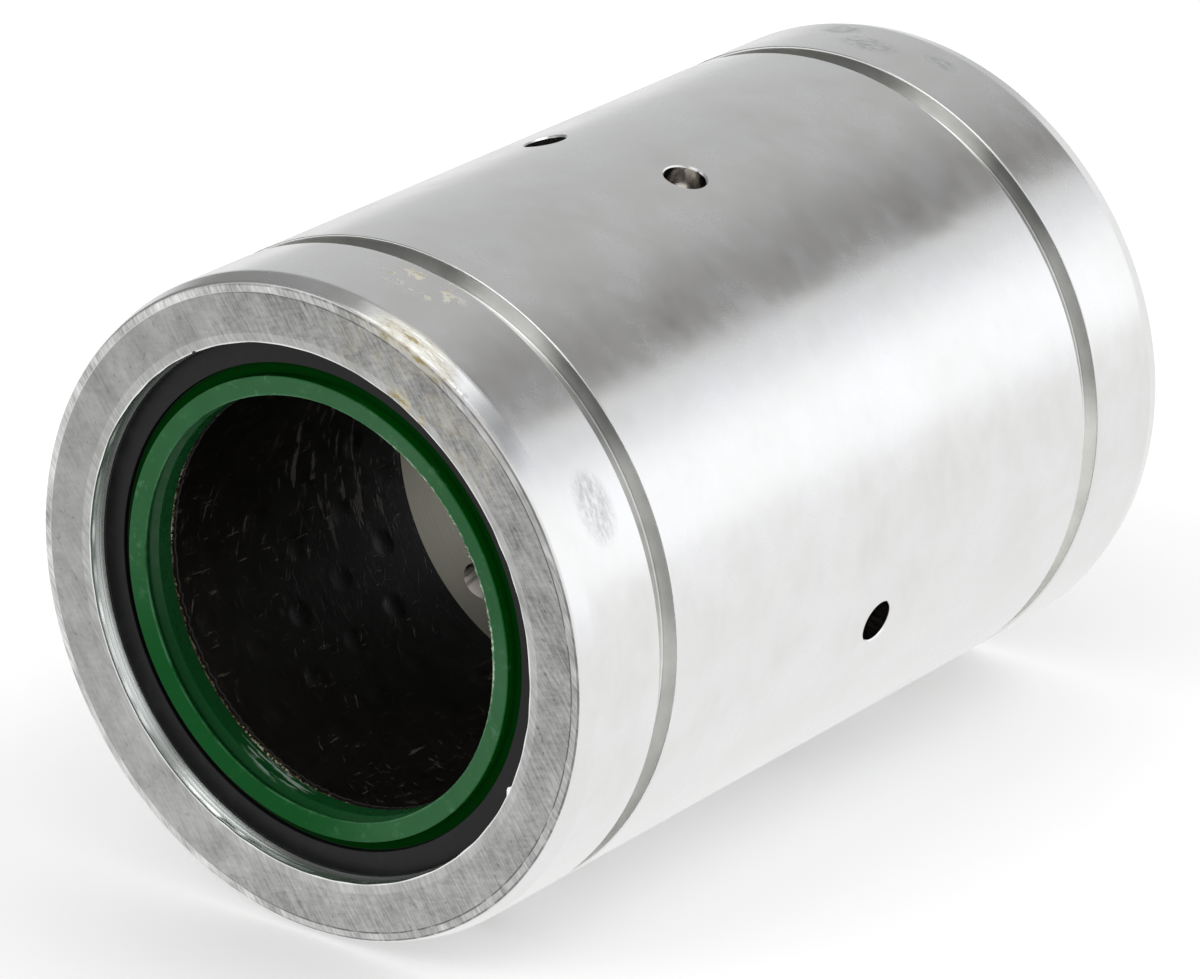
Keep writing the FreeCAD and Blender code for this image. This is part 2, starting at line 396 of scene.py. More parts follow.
card("softbox_card", -3, 50, -0.2, 3.0, softbox_glow)
card("table_edge_card", -15, -8, -0.2, 3.0, (0.76, 0.78, 0.81), radius=0.85)
card("ceiling_card", 56, 178, 0.60, 3.0, ceiling_glow)
card("gap_card", 50, 66, -0.5, 0.60, (0.30, 0.30, 0.29), radius=0.85)
card("top_light_card", 68, 106, 0.24, 0.55, (0.78, 0.78, 0.77))
card("mouth_light_card", 62, 108, -0.20, 0.24, (2.1, 2.15, 2.14))
card("camera_card", 100, 111, -0.75, -0.35, (0.03, 0.03, 0.03))
card("far_side_card", 107, 200, -0.3, 0.60, (0.26, 0.26, 0.255))

# %% [markdown]
# ## Outlines that turn into rings
# Every piece of this part is a ring: a closed outline carried once round the shaft. An outline is a
# list of corners with a rounding at each. Real edges are never sharp, and the small round is what
# catches the light along a turned edge. The ring is a grid: one direction runs along the outline,
# the other round the shaft, and both close on themselves, so no seam or open end is left.

# %% Rounded outlines and the ring surface
def rounded(corners, spacing, arc_steps=6, guard=0.04):
    """Closed outline through (radius, station, rounding) corners, as an array of points.

    Each corner is replaced by a parabola that leaves one side and joins the other at the distance
    rounding / tan(half the corner's angle).  Straight runs are divided about every spacing, with a
    guard point close to each end so that the run stays flat when it is shaded.
    """
    corner = np.array([c[:2] for c in corners], float)
    rounding = np.array([c[2] for c in corners], float)
    before, after = np.roll(corner, 1, 0) - corner, np.roll(corner, -1, 0) - corner
    before /= np.linalg.norm(before, axis=1, keepdims=True)
    after /= np.linalg.norm(after, axis=1, keepdims=True)
    half = np.arccos(np.clip((before * after).sum(1), -1, 1)) / 2
    reach = (rounding / np.tan(half))[:, None]
    start, stop = corner + before * reach, corner + after * reach
    share = np.linspace(0, 1, arc_steps + 1)[None, :, None]
    arcs = ((1 - share) ** 2 * start[:, None] + 2 * share * (1 - share) * corner[:, None]
            + share ** 2 * stop[:, None])
    runs = []
    for index, arc in enumerate(arcs):
        runs.append(arc)
        goal = start[(index + 1) % len(corner)]
        length = np.linalg.norm(goal - arc[-1])
        inner = np.linspace(0, 1, max(2, int(length / spacing) + 1))[1:-1]
        if length > 4 * guard:
            inner = np.unique(np.concatenate([inner, [guard / length, 1 - guard / length]]))
        runs.append(arc[-1] + inner[:, None] * (goal - arc[-1]))
    points = np.concatenate(runs)
    return points[np.linalg.norm(points - np.roll(points, 1, 0), axis=1) > 1e-5]


def anticlockwise(outline):
    """The outline in the order that makes the ring's faces point outwards, by its signed area."""
    radius, station = outline.T
    area = (radius * np.roll(station, -1) - np.roll(radius, -1) * station).sum()
    return outline if area > 0 else outline[::-1]


def even_angles(count):
    """Angles in degrees, evenly spaced round the shaft."""
    return np.arange(count) * 360.0 / count


def ring(name, outline, angles, material, shift=None):
    """Ring surface: (radius cos(angle), station, radius sin(angle)) over outline and angles.

    shift(radius, station, angle) may return a small change of radius and of station, both in
    millimetres, for every point of the grid at once.
    """
    outline = anticlockwise(outline)
    angle = angles[None, :]
    radius, station, angle = np.broadcast_arrays(outline[:, :1], outline[:, 1:], angle)
    if shift:
        more_radius, more_station = shift(radius, station, angle)
        radius, station = radius + more_radius, station + more_station
    turn = np.radians(angle)
    points = np.stack([radius * np.cos(turn), station, radius * np.sin(turn)], -1) * MM
    faces = grid_faces(len(outline), len(angles), True, True)
    piece = mesh_piece(name, points, faces, material)
    print(f"{name}: {len(outline)} points round the outline, {2 * len(faces)} triangles")
    return piece


def at_end(corners, end):
    """Corners given as (radius, depth, rounding), moved to the front end (-1) or rear end (+1)."""
    return [(radius, end * (END - depth), rounding) for radius, depth, rounding in corners]


def swell(angle, middle, half_width):
    """Smooth hump of height 1 at the angle middle, 0 beyond half_width degrees; it wraps round."""
    away = np.abs((angle - middle + 180) % 360 - 180) / half_width
    return np.where(away < 1, (1 - np.minimum(away, 1) ** 2) ** 2, 0.0)


def ripple(angle, waves, seed):
    """Uneven wave round the shaft: a sum of sines with random strengths and phases, about 1 high."""
    draw = np.random.default_rng(seed)
    strength, phase = draw.normal(size=len(waves)), draw.uniform(0, 2 * np.pi, len(waves))
    total = sum(s * np.sin(np.radians(angle) * w + p) for s, w, p in zip(strength, waves, phase))
    return total / np.sqrt((strength ** 2).sum() / 2)


print("outline test:", len(rounded([(1, 0, 0.1), (2, 0, 0.1), (2, 1, 0.1), (1, 1, 0.1)], 0.5)), "points")

# %% [markdown]
# ## Finish of the sleeve
# The sleeve is turned from bare aluminium bar, and one piece of metal shows many finishes. The
# outside is satin, with clouds where hands and packing have rubbed it. The end face was dressed on
# abrasive, so it is grey with short scratches across it. The seal seat still has the bright rings of
# the boring tool. Painted shade darkens the grooves in bands, and dried grease sits on the front
# chamfer. All of these are one material here: each zone is found from radius and depth, and colour,
# roughness and relief change from zone to zone.

# %% Turned aluminium
def turned_aluminium():
    """Bare aluminium with a satin outside, an abraded end face and bright bored walls."""
    f = Finish("turned_aluminium")
    front = f.front()
    face = f.depth.rise(0.22, 0.03) * f.radius.between(19.35, 22.42, 0.06)
    rim = f.depth.rise(0.50, 0.30) * f.radius.between(22.50, 22.98, 0.05)
    land = f.depth.rise(0.5, 0.2) * f.radius.between(18.95, 19.6, 0.08)
    seat = f.radius.rise(19.1, 18.95) * f.depth.rise(4.3, 4.1)
    groove = f.radius.rise(23.4, 23.3) * f.depth.between(8.1, 10.05, 0.04)
    inside = f.radius.rise(17.4, 17.1) * f.depth.rise(20, 28)
    hole_wall = f.radius.between(17.2, 23.36, 0.03) * f.depth.rise(31.5, 32.2)

    cloud = noise(f.place, 0.11, 3.0, 0.55)
    mottle = noise(f.around(0.5, 0.9), 0.8, 2.0, 0.6)
    smudge = noise(f.place, 0.20, 4.0, 0.6)
    turning = noise(f.around(0.20, 1.8), 1.0, 1.0, 0.5)

    # the face was rubbed flat in one direction: streaks long one way and narrow the other
    lengthwise = f.z * 0.819 - f.x * 0.574
    crosswise = f.x * -0.819 - f.z * 0.574
    scratch = noise(vector(lengthwise * 0.38, crosswise * 4.3, f.y), 1.0, 3.0, 0.7)
    coarse = noise(vector(lengthwise * 0.30, crosswise * 0.9, f.y), 1.0, 3.0, 0.6)
    slanted = vector(crosswise * 1.1 + lengthwise * 0.5, lengthwise * 3.0 - crosswise * 1.2, f.y)
    crossing = noise(slanted, 1.0, 2.0, 0.6)
    pit = noise(vector(lengthwise * 1.3, crosswise * 2.4, f.y), 1.0, 3.0, 0.7)
    blot = noise(f.place, 0.30, 4.0, 0.62)
    far_left = f.x.rise(0.0, -14.0)
    bite = 1.0 - far_left * 0.55                  # the marks are shallower on the far left

    grey = cloud * 0.10 + mottle * 0.05 + smudge * 0.14 + 0.64
    cool = smudge.rise(0.45, 0.65) * 0.02 + 0.99
    face_grey = (scratch * 0.54 + coarse * 0.18 + crossing * 0.24 - 0.48) * bite + blot * 0.38 - 0.19
    face_grey = face_grey - pit.rise(0.60, 0.68) * 0.11 - coarse.rise(0.60, 0.70) * bite * 0.05
    face_grey = face_grey + far_left * 0.02 + 0.355
    # painted light: the end face is lighter towards the bottom
    face_grey = face_grey + f.z.rise(4.0, -16.0) * 0.05
    value = blend(face, vector(grey, grey, grey * cool), vector(face_grey, face_grey, face_grey * 0.985))
    land_grey = blot * 0.5 + scratch * 0.5 - 0.06
    value = blend(land, value, vector(land_grey, land_grey, land_grey * 0.985))
    # painted light: the rim is lighter on the left side
    rim_grey = (scratch * 0.8 + mottle * 0.6 - 0.25) * (1.0 + f.x.rise(6.0, -12.0) * 0.35)
    value = blend(rim, value, vector(rim_grey, rim_grey, rim_grey * 0.985))
    value = blend(seat, value, (0.92, 0.94, 0.93))
    # painted shade: the grooves are darker in bands at some angles round the part
    painted_groove_shade = f.angle.between(12, 50, 14) * 0.26 + f.angle.between(40, 50, 9) * 0.14
    painted_groove_shade = painted_groove_shade + f.angle.rise(70, 81) * 0.33 + f.angle.rise(12, 2) * front * 0.13
    groove_grey = mottle * 0.3 + 0.78 - painted_groove_shade
    value = blend(groove, value, vector(groove_grey, groove_grey, groove_grey * 0.98))
    value = blend(inside, value, (0.52, 0.50, 0.42))
    # painted shade: the hole walls get darker the deeper they go into the sleeve
    hole_shade_grey = f.radius.rise(18.0, 21.5) * 0.44 + 0.20
    value = blend(hole_wall, value, vector(hole_shade_grey, hole_shade_grey * 0.96, hole_shade_grey * 0.92))

    # places rubbed dull by packing, with fine streaks round the part
    fine = noise(f.around(0.9, 2.6), 1.5, 4.0, 0.7)
    rubbed = f.patch(29.0, 4.9, 7.5, 2.0) * front * (fine * 3.0 - 0.85).rise(0.0, 1.3)
    worn = f.patch(88, 5.0, 7, 1.5) + f.patch(75, 3.4, 4, 0.9) + f.patch(97, 3.0, 5, 1.2)
    rubbed = rubbed + worn * (1.0 - front) * fine.rise(0.40, 0.60) * 0.8
    value = blend(rubbed * 0.55, value, (0.33, 0.35, 0.36))
    # painted shade: the front chamfer is greyer round 52 degrees, which dims its highlight there
    painted_chamfer_shade = f.patch(52, 0.4, 16, 1.6) * front * f.radius.rise(22.6, 22.9)
    value = blend(painted_chamfer_shade * 0.45, value, (0.42, 0.42, 0.45))
    # painted shade: dark broken lines along both edges of the rim, left out on the far left
    painted_edge_shade = f.radius.between(22.38, 22.46, 0.04) + f.radius.between(22.90, 23.0, 0.04) * 0.8
    painted_edge_shade = painted_edge_shade * f.depth.rise(0.5, 0.3) * f.x.rise(-14, 4) * coarse.rise(0.30, 0.55)
    value = blend(painted_edge_shade * 0.75, value, (0.07, 0.07, 0.07))

    # painted glints: near-white specks in a few places on the outside
    painted_glint_zone = f.patch(52, 22, 12, 9) + f.patch(50, 4, 9, 3) * front + f.patch(60, 30, 14, 6)
    painted_glint_speck = noise(f.around(1.4, 1.1), 2.6, 4.0, 0.75).rise(0.70, 0.74) * painted_glint_zone
    value = blend(painted_glint_speck * 0.7, value, (0.97, 0.95, 0.90))

    # dried grease near the mouth and in the grooves: it runs round the part, and is not metallic
    smear = noise(f.place, 0.9, 4.0, 0.65)
    streak = noise(vector(f.turn * 9.0, f.depth * 1.5, f.radius * 1.3), 1.0, 4.0, 0.7)
    on_rim = f.radius.rise(22.35, 22.7)
    film = f.patch(66.5, 0.5, 11, 1.5) * front * on_rim * (streak.rise(0.36, 0.50) * 0.7 + 0.3)
    chamfer_stain = f.patch(66.0, 0.4, 10, 1.5) * front * on_rim * streak.rise(0.53, 0.60)
    face_stain = f.patch(60, 0.0, 27, 0.6) * front * smear.rise(0.42, 0.62) * 0.24
    mouth_stain = f.patch(62.5, 0.0, 6, 0.6) * front * f.radius.rise(20.0, 19.5) * smear.rise(0.40, 0.50)
    groove_stain = (f.patch(78, 6.4, 11, 2.2) * front + f.patch(101, 9.0, 7, 1.1) * (1.0 - front))
    groove_stain = groove_stain * smear.rise(0.53, 0.62)
    stain = film * 0.50 + chamfer_stain * 0.40 + face_stain + mouth_stain * 0.7 + groove_stain * 0.7
    stain = stain.sum("MINIMUM", stain, 0.85)
    stain_colour = blend(streak.rise(0.46, 0.60), (0.60, 0.56, 0.42), (0.30, 0.23, 0.05))
    value = blend(stain, value, stain_colour)

    rough = cloud * 0.12 + mottle * 0.06 + smudge * 0.18 + 0.07
    rough = blend(face, rough, scratch * 0.12 + 0.40)
    rough = blend(rim, rough, 0.38)
    rough = blend(land, rough, 0.38)
    rough = blend(seat, rough, 0.27)
    rough = blend(groove, rough, 0.30)
    rough = blend(inside, rough, 0.50)
    rough = blend(hole_wall, rough, 0.13)
    rough = blend(rubbed, rough, 0.45)
    rough = blend(stain, rough, 0.50)

    dimple = noise(f.around(1.0, 0.8), 0.34, 1.5, 0.45)
    relief = turning * 0.0012 + mottle * 0.0012 + dimple * 0.018
    bored = noise(f.around(0.02, 5.0), 1.0, 2.0, 0.5)
    relief = relief + face * (scratch * 0.010) + seat * (bored * 0.010) + inside * (bored * 0.01)
    relief = relief + stain * (streak * 0.05)

    metal = 1.0 - stain
    f.set(base_color=value, roughness=rough, metallic=metal).relief(relief)
    return f.material


ALUMINIUM = turned_aluminium()
print("aluminium:", len(ALUMINIUM.node_tree.nodes), "nodes")

# %% [markdown]
# ## The sleeve
# The sleeve is drawn as half an outline, from the middle to one end face, and its mirror image. The
# steps of the outline are the same as in the CAD model: ring grooves, lead chamfers, seal seats and
# the through bore. Four radial holes at mid-length are cut out afterwards with a Boolean, because a
# hole across a ring can't be written as an outline.

# %% Sleeve outline
GROOVE_FLOOR = OUTSIDE - 1.25
GROOVE_OUTER, GROOVE_INNER = END - 8.15, END - 10.0
CHAMFER_START, FACE_RADIUS = END - 1.5, OUTSIDE - 0.43
MOUTH_RADIUS, SEAT_RADIUS, SHOULDER, BORE_RADIUS = 19.5, 18.9, END - 4.0, 17.0

MARK_PITCHES, MARK_TILT = (0.16, 0.26, 0.20, 0.30, 0.22, 0.20), 20.0


def boring_marks():
    """Feed marks of the boring tool: ramps that face the mouth, each ending in a small step."""
    corners, depth = [], 0.10
    for pitch in MARK_PITCHES:
        rise = pitch * math.tan(math.radians(MARK_TILT))
        corners += [(SEAT_RADIUS + rise, END - depth, 0.0), (SEAT_RADIUS, END - depth - 0.9 * pitch, 0.0)]
        depth += pitch
    return corners


half_sleeve = [
    (OUTSIDE, GROOVE_INNER, 0.08),
    (GROOVE_FLOOR, GROOVE_INNER, 0.15),
    (GROOVE_FLOOR, GROOVE_OUTER, 0.15),
    (OUTSIDE, GROOVE_OUTER, 0.14),
    (OUTSIDE, CHAMFER_START, 1.2),
    (FACE_RADIUS, END, 0.42),
    (MOUTH_RADIUS, END, 0.25),
    (SEAT_RADIUS + 0.06, END - 0.08, 0.0),
    *boring_marks(),
    (SEAT_RADIUS, SHOULDER, 0.08),
    (BORE_RADIUS, SHOULDER, 0.05),
]
other_half = [(radius, -station, rounding) for radius, station, rounding in reversed(half_sleeve)]
sleeve_outline = rounded(half_sleeve + other_half, 4.0, arc_steps=4)

CHIP_ANGLE, DENT_ANGLE = 335.0, 119.0     # degrees; both are at the front mouth


def sleeve_wear(radius, station, angle):
    """A dent and a raised chip at the front mouth, as changes of radius and station.

    The inner edges of the two grooves are a little ragged where the parting tool chattered.
    """
    at_front = station < -END + 0.35
    at_mouth = at_front & (np.abs(radius - SEAT_RADIUS) < 0.3)
    chip = swell(angle, CHIP_ANGLE, 1.5) * at_mouth
    dent = swell(angle, DENT_ANGLE, 0.8) * at_front * (np.abs(radius - SEAT_RADIUS) < 0.4)
    uneven = 0.015 * ripple(angle, range(7, 60), 3) * at_mouth
    below = OUTSIDE - radius
    at_edge = (np.abs(np.abs(station) - GROOVE_INNER) < 0.10) & (below > 0.003) & (below < 0.12)
    chatter = np.abs(ripple(angle, range(60, 200, 3), 21)) * at_edge
    return -0.26 * chip + 0.12 * dent + uneven - 0.012 * chatter, 0.1 * chip


sleeve_angles = np.unique(np.round(np.concatenate([
    even_angles(432), np.arange(CHIP_ANGLE - 2, CHIP_ANGLE + 2, 0.25),
    np.arange(DENT_ANGLE - 1, DENT_ANGLE + 1, 0.25)]), 3))
sleeve = ring("turned_sleeve", sleeve_outline, sleeve_angles, ALUMINIUM, sleeve_wear)

# %% Radial holes
HOLE_RADIUS = 1.5
THROUGH, BLIND = 12.0, OUTSIDE - 3.0     # radius at which the full diameter of a hole ends
POINT_HEIGHT = 0.90                      # cone that the drill leaves at the bottom
BROKEN_EDGE = ((-0.15, 0.0), (-0.07, 0.07), (0.02, 0.17), (0.30, 0.50))     # (height, extra radius)
DRILL_SIDES, TIP_RADIUS = 72, 1e-3
HOLES = {105.0: THROUGH, 225.0: THROUGH, 345.0: THROUGH, 75.0: BLIND}


def drill(angle, stop):
    """Cutter for one radial hole: a pointed rod that widens in two steps to a broken edge.

    The rod is its own small lathe shape.  Its radius is a list along its axis, its two ends close
    in a ring of almost no size, and its axis points from the shaft out at the given angle.  The
    heights of the broken edge are measured from the outside of the sleeve.
    """
    heights, extras = zip(*BROKEN_EDGE)
    along = np.array([stop - POINT_HEIGHT, stop, *(OUTSIDE + h for h in heights), OUTSIDE + heights[-1]])
    wide = np.array([TIP_RADIUS, HOLE_RADIUS, *(HOLE_RADIUS + extra for extra in extras), TIP_RADIUS])
    round_turn = np.radians(even_angles(DRILL_SIDES))
    out = np.array([math.cos(math.radians(angle)), 0.0, math.sin(math.radians(angle))])
    side, axis = np.array([-out[2], 0.0, out[0]]), np.array([0.0, 1.0, 0.0])
    rim = np.cos(round_turn)[:, None] * side + np.sin(round_turn)[:, None] * axis
    points = (along[:, None, None] * out + wide[:, None, None] * rim[None]) * MM
    rows = len(along)
    caps = [list(range(DRILL_SIDES)), list(range((rows - 1) * DRILL_SIDES, rows * DRILL_SIDES))[::-1]]
    mesh = bpy.data.meshes.new("drill")
    walls = grid_faces(rows, DRILL_SIDES, False, True).tolist()
    mesh.from_pydata(points.reshape(-1, 3).tolist(), [], walls + caps)
    mesh.materials.append(ALUMINIUM)
    cutter = bpy.data.objects.new("drill", mesh)
    scene.collection.objects.link(cutter)
    return cutter


def cut_holes(piece, holes):
    """Take every drill out of the piece and keep the result as its mesh."""
    cutters = [drill(angle, stop) for angle, stop in holes.items()]
    for cutter in cutters:
        hole = piece.modifiers.new("hole", "BOOLEAN")
        hole.operation, hole.solver, hole.object = "DIFFERENCE", "EXACT", cutter
    bpy.context.view_layer.update()
    shaped = piece.evaluated_get(bpy.context.evaluated_depsgraph_get())
    mesh = bpy.data.meshes.new_from_object(shaped)
    piece.modifiers.clear()
    piece.data = mesh
    for cutter in cutters:
        bpy.data.objects.remove(cutter)
    return mesh


sleeve_mesh = cut_holes(sleeve, HOLES)
sleeve_mesh.polygons.foreach_set("use_smooth", np.ones(len(sleeve_mesh.polygons), bool))
sleeve_mesh.set_sharp_from_angle(angle=math.radians(32))
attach(sleeve, "root")
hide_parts("housing_sleeve")
print("sleeve faces after the holes:", len(sleeve_mesh.polygons))

# %% [markdown]
# ## The sliding layer
# The bush is rolled from strip: a steel back, a thin layer of sintered bronze, and a black plastic
# sliding layer in which shallow round pockets hold grease. The pockets are pressed into the strip
# before it is rolled, so their rows run round the bore at a slope. On the grid a pocket is a dish:
# the radius grows by depth times one minus the squared distance from its centre.

# %% Sliding plastic
def sliding_plastic():
    """Black filled plastic, greasy and scuffed, with the bronze showing at its cut ends and painted glints
    on it.
    """
    f = Finish("sliding_plastic")
    ragged = noise(f.place, 2.1, 4.0, 0.7)
    end_depth = f.depth.sum("MINIMUM", f.depth - 4.0, 29.0 - f.depth)
    # painted glints: near two angles at the front the bronze line is wider and brighter
    bronze_glint_zone = (f.patch(-112, 4.1, 20, 0.8) + f.patch(170, 4.1, 32, 0.8) * 0.5) * f.front()
    chamfer = f.radius.rise(15.03, 15.10) * (end_depth - 0.5).rise(0.1, 0.0)
    bronze_glint_edge = f.radius.rise(15.05, 15.12) * (bronze_glint_zone * ragged.rise(0.45, 0.55))
    cut_edge = f.radius.rise(15.16, 15.22) + bronze_glint_edge
    cut_edge = (end_depth + ragged * 1.5).rise(1.08, 0.96) * cut_edge.sum("MINIMUM", cut_edge, 1.0)
    grease = noise(f.place, 0.35, 3.0, 0.6)
    scuff = noise(vector(f.x * 0.5, f.y * 1.6, f.z * 0.5), 1.4, 4.0, 0.7).rise(0.55, 0.72)

    # strokes left by a shaft and by fingers: narrow, some along the bore and some across it
    along = noise(vector(f.x * 2.6, f.y * 0.40, f.z * 2.6), 1.0, 3.0, 0.75).rise(0.62, 0.69)
    tilted = f.y + (f.x - f.z) * 0.45
    across = noise(vector(f.x * 0.45, tilted * 2.4, f.z * 0.45), 1.0, 3.0, 0.75).rise(0.63, 0.70)
    stroke = (along + across) * noise(f.place, 0.22, 2.0, 0.5).rise(0.40, 0.60)
    worn = (f.patch(-175, 24.5, 26, 8) + f.patch(170, 22, 25, 10)) * f.front()
    scrape = noise(vector(f.turn * 3.2, f.y * 0.9, f.radius), 1.0, 3.0, 0.7).rise(0.56, 0.61) * worn
    stroke = stroke + scrape

    black = blend(grease, (0.0030, 0.0027, 0.0024), (0.0075, 0.0064, 0.0050))
    value = blend(scuff * 0.5, black, (0.020, 0.017, 0.013))
    value = blend(stroke * 0.6, value, (0.19, 0.17, 0.14))
    # painted glints: bright dots on the bronze line, far more of them near those two angles
    bright = noise(f.place, 4.2, 3.0, 0.6).rise(0.46, 0.54) * (bronze_glint_zone * 2.0 + 0.30)
    bronze = blend(bright, (0.055, 0.035, 0.014), (0.80, 0.72, 0.52))
    value = blend(cut_edge, value, bronze)

    rough = grease * 0.25 + scuff * 0.15 + 0.24
    rough = blend(chamfer, rough, 0.60)
    rough = blend(cut_edge, rough, 0.38)
    relief = ragged * 0.012 + scuff * 0.008 + stroke * 0.012 + cut_edge * (ragged * 0.10)
    f.set(base_color=value, roughness=rough, specular=0.26 - chamfer * 0.20).relief(relief)
    return f.material


SLIDING_PLASTIC = sliding_plastic()
print("sliding plastic:", len(SLIDING_PLASTIC.node_tree.nodes), "nodes")

# %% Pocket pattern and the two layers
BUSH_START, BUSH_LENGTH = 4.0, 25.0
POCKET_RADIUS, POCKET_DEPTH = 1.0, 0.20
GREASE_FILL = np.random.default_rng(4).uniform(0.55, 0.92, 400)      # share of each pocket that is full
POCKET_DROP, POCKETS_PER_TURN, ROWS_PER_TURN, ROW_TWIST = 1.8, 23, 8, 3.8
FIRST_ANGLE, FIRST_DISTANCE, POCKET_LAND = 209.0, 15.7, 1.6


def pocket_places():
    """(distance from the bush's outer end, angle) of each pocket in the front bush."""
    spacing = POCKETS_PER_TURN * POCKET_DROP / ROWS_PER_TURN
    step_angle = (360.0 + ROWS_PER_TURN * ROW_TWIST) / POCKETS_PER_TURN
    row, step = np.meshgrid(np.arange(-14, 15), np.arange(POCKETS_PER_TURN), indexing="ij")
    distance = FIRST_DISTANCE - step * POCKET_DROP - row * spacing
    angle = FIRST_ANGLE + step * step_angle + row * ROW_TWIST
    inside = (distance >= POCKET_LAND) & (distance <= BUSH_LENGTH - POCKET_LAND)
    return distance[inside], angle[inside]


pocket_distance, pocket_angle = pocket_places()


def pockets(radius, depth, angle):
    """Depth of the dishes at each point of the bore: 1 - (distance / pocket radius) squared.

    Grease fills each dish to its own level, so what shows is shallower than the pressed pocket.
    """
    deepest = np.zeros(np.broadcast(radius, depth, angle).shape)
    for distance, place, fill in zip(pocket_distance, pocket_angle, GREASE_FILL):
        across = np.radians((angle - place + 180) % 360 - 180) * radius
        along = depth - BUSH_START - distance
        dish = (1 - fill) * (1 - (across ** 2 + along ** 2) / POCKET_RADIUS ** 2)
        deepest = np.maximum(deepest, dish)
    return POCKET_DEPTH * deepest


def sliding_layer(end, name, node):
    """Sliding layer with its pockets; the rear one is the front one turned end for end."""
    inner, outer, chamfer = 15.0, 15.3, 0.40
    first, last = BUSH_START, BUSH_START + BUSH_LENGTH
    corners = [(inner, first + chamfer, 0.05), (inner, last - chamfer, 0.05),
               (outer, last - 0.1, 0.0), (outer, first + 0.1, 0.0)]
    spacing = 0.2 if end < 0 else 0.3

    def shift(radius, station, angle):
        depth = END - np.abs(station)
        turned = angle if end < 0 else 180.0 - angle
        on_bore = radius < inner + 0.005
        edge = 0.05 * ripple(angle, range(20, 160), 11) * (np.abs(depth - first - 0.25) < 0.3)
        return np.where(on_bore, pockets(radius, depth, turned), 0.0), edge * end

    outline = rounded(at_end(corners, end), spacing, arc_steps=3)
    middle = end * (END - (first + last) / 2)
    keep = (outline[:, 0] < outer - 1e-6) | (np.abs(outline[:, 1] - middle) > BUSH_LENGTH / 2 - 0.15)
    piece = ring(name, outline[keep], even_angles(600 if end < 0 else 420), SLIDING_PLASTIC, shift)
    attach(piece, "root")
    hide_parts(node)
    return piece


sliding_layer(-1, "front_sliding_layer", "front_bush_sliding_layer")
sliding_layer(+1, "rear_sliding_layer", "rear_bush_sliding_layer")
print(len(pocket_distance), "pockets in each bush")

# %% [markdown]
# ## The metal of the bushes
# The steel back and the bronze layer keep their CAD shapes, because little of them shows: the back's
# end face in the gap between the bushes, and the bronze as a thin line. They only need a finish.
# Rolled steel strip is dull grey with a sawn look at its ends. Sintered bronze is a mass of tiny
# balls, so its colour and relief come from scattered cells.

# %% Bush steel and sintered bronze
def bush_steel():
    """Dull rolled steel, greyer and scratched round its cut ends."""
    f = Finish("bush_steel")
    roll = noise(f.around(0.2, 7.0), 1.0, 3.0, 0.6)
    cloud = noise(f.place, 0.4, 3.0, 0.6)
    grey = roll * 0.10 + cloud * 0.14 + 0.36
    f.set(base_color=vector(grey, grey, grey * 1.02), metallic=1.0, roughness=cloud * 0.2 + 0.30)
    f.relief(roll * 0.004 + cloud * 0.01)
    return f.material


def sintered_bronze():
    """Porous bronze: packed grains about 0.1 mm across, dull gold with dark gaps."""
    f = Finish("sintered_bronze")
    grain = cells(f.place, 8.0)
    value = blend(grain.rise(0.15, 0.65), (0.62, 0.42, 0.18), (0.20, 0.12, 0.04))
    f.set(base_color=value, metallic=1.0, roughness=grain * 0.3 + 0.35).relief((1.0 - grain) * 0.03)
    return f.material


BUSH_METALS = {"bush_steel_back": bush_steel(), "bush_bronze_layer": sintered_bronze()}
for node_name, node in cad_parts.items():
    for ending, material in BUSH_METALS.items():
        if node_name.endswith(ending):
            node.data.materials.clear()
            node.data.materials.append(material)
            print(node_name, "is finished as", material.name)

# %% [markdown]
# ## The seal carriers
# A carrier is a stiff moulded ring pressed into the seat. Its front has a flat rim, then a narrow
# moat, and inside the moat stands the rubber lip. Moulded black plastic is even and satin: the mould
# gives it a very fine grain, and handling leaves a few pale marks. A skin of the lip's rubber covers
# the floor of the moat, too thin to model, so it is a green zone of the plastic's colour.

# %% Carrier plastic and the two carriers
def carrier_plastic():
    """Black moulded plastic with fine grain and faint rubbed places."""
    f = Finish("seal_carrier_plastic")
    grain = noise(f.place, 6.0, 3.0, 0.6)
    rub = noise(f.around(0.6, 0.6), 0.8, 4.0, 0.65).rise(0.50, 0.75)
    value = blend(rub * 0.6, (0.0065, 0.0065, 0.0072), (0.016, 0.016, 0.018))
    skin = f.depth.between(1.84, 1.96, 0.05) * f.radius.between(15.5, 17.08, 0.06)
    value = blend(skin, value, (0.001, 0.036, 0.003))
    f.set(base_color=value, roughness=grain * 0.10 + rub * 0.10 + 0.30, specular=0.20 - skin * 0.20)
    f.relief(grain * 0.004 + rub * 0.003)
    return f.material


CARRIER_PLASTIC = carrier_plastic()
RIM_FACE, MOAT_FLOOR, MOAT_RADIUS, LIP_ROOT = 1.48, 1.88, 17.15, 15.95


def seal_carrier(end, name, node):
    """Carrier ring: rim out to the seat, moat, and web in to the lip's root."""
    corners = [(LIP_ROOT, 4.0, 0.03), (SEAT_RADIUS, 4.0, 0.1), (SEAT_RADIUS, RIM_FACE, 0.12),
               (MOAT_RADIUS, RIM_FACE, 0.10), (MOAT_RADIUS, MOAT_FLOOR, 0.08), (LIP_ROOT, MOAT_FLOOR, 0.03)]
    outline = rounded(at_end(corners, end), 0.25)

    def shift(radius, station, angle):
        """The moulded face is flat only to a few hundredths."""
        on_face = END - np.abs(station) < MOAT_FLOOR + 0.05
        return 0.0 * radius, 0.012 * ripple(angle, range(2, 7), 5) * on_face

    piece = ring(name, outline, even_angles(480), CARRIER_PLASTIC, shift)
    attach(piece, "root")
    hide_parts(node)
    return piece


